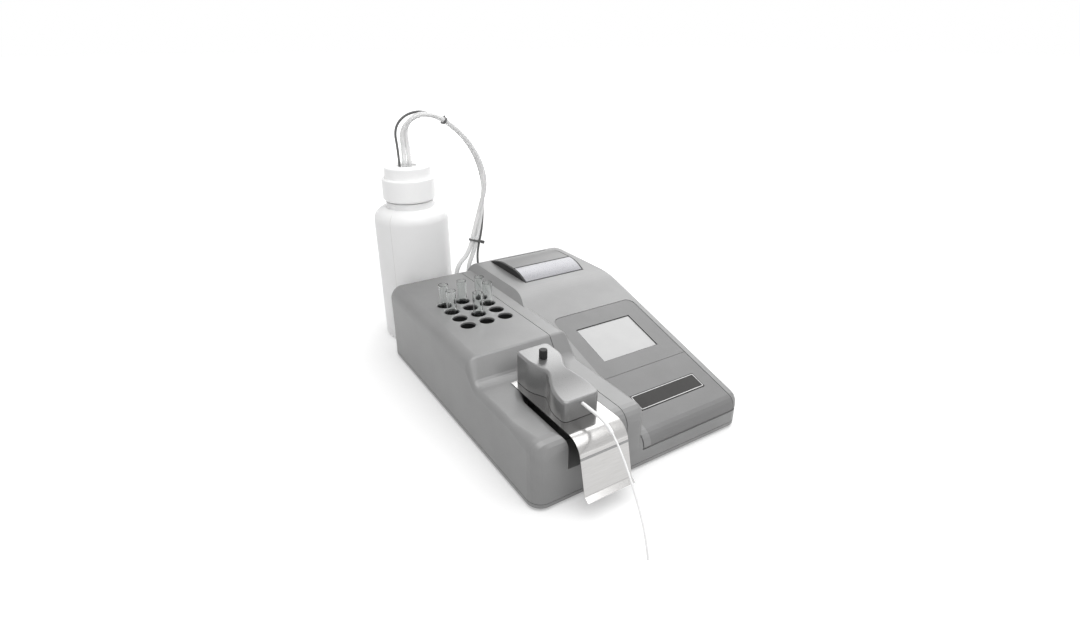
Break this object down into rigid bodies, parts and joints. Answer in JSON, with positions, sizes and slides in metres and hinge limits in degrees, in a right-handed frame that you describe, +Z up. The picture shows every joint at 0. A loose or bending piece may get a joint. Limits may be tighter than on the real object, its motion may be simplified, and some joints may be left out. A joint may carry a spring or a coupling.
{
  "type": "bench biochemistry analyzer",
  "caption": "Bench biochemistry analyzer with tube wells, sipper head over a steel drip plate, sloping panel with display, printer and a waste bottle joined by tubes.",
  "frame": {"origin": "on the bench plane, under the middle of the box round the case, the sip plate and the bottle, without the hanging tubes", "axes": "+Z up, front of the analyzer towards -Y, +X to the right of somebody facing the display"},
  "size_m": [0.27, 0.5699, 0.3106],
  "materials": {
    "case_grey": "satin",
    "panel_grey": "matt",
    "black_plastic": "matt",
    "silver_plastic": "satin",
    "dark_plate": "satin",
    "steel": "polished",
    "aluminium": "machined",
    "rubber": "matt",
    "glass": "clear",
    "screen": "satin",
    "white_poly": "satin",
    "paper": "matt",
    "clear_hose": "glossy",
    "grey_lead": "satin",
    "ivory_tube": "satin",
    "board_green": "satin",
    "zinc": "plated"
  },
  "bodies": {
    "case": {"base_tray": "case_grey", "left_cover": "case_grey", "right_cover": "case_grey", "rubber_feet": "rubber", "cover_screws": "zinc", "incubator_block": "aluminium", "sip_switch": "black_plastic", "optics_pedestal": "black_plastic", "lamp_holder": "black_plastic", "lamp_and_lens": "glass", "wheel_motor": "zinc", "printer_tub": "black_plastic", "tear_cover": "silver_plastic", "print_head": "black_plastic", "display_bezel": "panel_grey", "front_panel": "panel_grey", "blank_plate": "dark_plate", "display_glass": "screen", "display_module": "black_plastic", "main_board": "board_green", "power_supply": "zinc", "rear_panel": "zinc", "rear_fittings": "zinc", "lead_plug": "black_plastic", "fan_frame": "black_plastic", "power_inlet": "black_plastic", "pump_housing": "black_plastic", "pump_motor": "zinc", "pump_tube": "clear_hose", "bottle": "white_poly", "hose_stubs": "clear_hose", "waste_tube": "clear_hose", "air_tube": "clear_hose", "bottle_lead": "grey_lead", "cable_ties": "grey_lead"},
    "printer_door": {"printer_door": "case_grey"},
    "platen": {"platen_roller": "rubber"},
    "paper": {"paper_roll": "paper"},
    "glass_tube_11": {"glass_tube_11": "glass"},
    "glass_tube_12": {"glass_tube_12": "glass"},
    "glass_tube_21": {"glass_tube_21": "glass"},
    "glass_tube_23": {"glass_tube_23": "glass"},
    "glass_tube_31": {"glass_tube_31": "glass"},
    "glass_tube_32": {"glass_tube_32": "glass"},
    "sip_head": {"sip_head_cover": "case_grey", "flow_cell": "glass", "sip_sleeve": "ivory_tube", "sip_tube": "ivory_tube"},
    "knob": {"head_knob": "black_plastic"},
    "sip_plate": {"sip_plate": "steel"},
    "plunger": {"switch_plunger": "white_poly"},
    "filter_wheel": {"filter_wheel": "aluminium"},
    "pump_rotor": {"pump_rotor": "black_plastic"},
    "pump_roller_1": {"pump_roller_1": "black_plastic"},
    "pump_roller_2": {"pump_roller_2": "black_plastic"},
    "fan": {"fan_rotor": "black_plastic"},
    "rocker": {"rocker": "black_plastic"},
    "cap_seal": {"cap_liner": "white_poly", "cap_plug": "white_poly"},
    "cap": {"bottle_cap": "white_poly"}
  },
  "joints": [
    {"name": "door_hinge", "type": "hinge", "parent": "case", "child": "printer_door", "pos_m": [0.062, 0.13311, 0.1044], "axis": [-1, 0, 0], "range_deg": [0, 100]},
    {"name": "paper_spin", "type": "hinge", "parent": "case", "child": "paper", "pos_m": [0.062, 0.10661, 0.091], "axis": [1, 0, 0], "continuous": true},
    {"name": "platen_spin", "type": "hinge", "parent": "case", "child": "platen", "pos_m": [0.062, 0.08061, 0.1035], "axis": [1, 0, 0], "continuous": true},
    {"name": "head_lift", "type": "slide", "parent": "case", "child": "sip_head", "axis": [0, 0, 1], "range_m": [0, 0.045]},
    {"name": "knob_turn", "type": "hinge", "parent": "sip_head", "child": "knob", "pos_m": [-0.074, -0.13869, 0.114], "axis": [0, 0, 1], "continuous": true},
    {"name": "plate_push", "type": "slide", "parent": "case", "child": "sip_plate", "axis": [0, 1, 0], "range_m": [0, 0.0025], "stiffness_N_per_m": 400, "springref_m": -0.001},
    {"name": "plunger_push", "type": "slide", "parent": "case", "child": "plunger", "axis": [0, 1, 0], "range_m": [0, 0.0025]},
    {"name": "filter_spin", "type": "hinge", "parent": "case", "child": "filter_wheel", "pos_m": [-0.051, -0.15639, 0.028], "axis": [0, 0, 1], "continuous": true},
    {"name": "pump_spin", "type": "hinge", "parent": "case", "child": "pump_rotor", "pos_m": [-0.108, 0.10361, 0.048], "axis": [1, 0, 0], "continuous": true},
    {"name": "roller_1_spin", "type": "hinge", "parent": "pump_rotor", "child": "pump_roller_1", "pos_m": [-0.109, 0.11086, 0.06056], "axis": [1, 0, 0], "continuous": true},
    {"name": "roller_2_spin", "type": "hinge", "parent": "pump_rotor", "child": "pump_roller_2", "pos_m": [-0.109, 0.09636, 0.03544], "axis": [1, 0, 0], "continuous": true},
    {"name": "fan_spin", "type": "hinge", "parent": "case", "child": "fan", "pos_m": [0.036, 0.13961, 0.0465], "axis": [0, 1, 0], "continuous": true},
    {"name": "rocker_tilt", "type": "hinge", "parent": "case", "child": "rocker", "pos_m": [0.066, 0.14411, 0.05], "axis": [1, 0, 0], "range_deg": [0, 16]},
    {"name": "cap_rise", "type": "slide", "parent": "case", "child": "cap_seal", "axis": [0, 0, 1], "range_m": [0, 0.006]},
    {"name": "cap_turn", "type": "hinge", "parent": "cap_seal", "child": "cap", "pos_m": [-0.0735, 0.20161, 0.22], "axis": [0, 0, 1], "range_deg": [0, 540]},
    {"name": "lift_11", "type": "slide", "parent": "case", "child": "glass_tube_11", "axis": [0, 0, 1], "range_m": [0, 0.078]},
    {"name": "lift_12", "type": "slide", "parent": "case", "child": "glass_tube_12", "axis": [0, 0, 1], "range_m": [0, 0.078]},
    {"name": "lift_21", "type": "slide", "parent": "case", "child": "glass_tube_21", "axis": [0, 0, 1], "range_m": [0, 0.078]},
    {"name": "lift_23", "type": "slide", "parent": "case", "child": "glass_tube_23", "axis": [0, 0, 1], "range_m": [0, 0.078]},
    {"name": "lift_31", "type": "slide", "parent": "case", "child": "glass_tube_31", "axis": [0, 0, 1], "range_m": [0, 0.078]},
    {"name": "lift_32", "type": "slide", "parent": "case", "child": "glass_tube_32", "axis": [0, 0, 1], "range_m": [0, 0.078]}
  ],
  "couplings": [
    {"joint": "platen_spin", "follows": "paper_spin", "ratio": 3.4167},
    {"joint": "plunger_push", "follows": "plate_push", "ratio": 1},
    {"joint": "roller_1_spin", "follows": "pump_spin", "ratio": -3.9},
    {"joint": "roller_2_spin", "follows": "pump_spin", "ratio": -3.9},
    {"joint": "cap_rise", "follows": "cap_turn", "m_per_rad": 0.00063662}
  ]
}
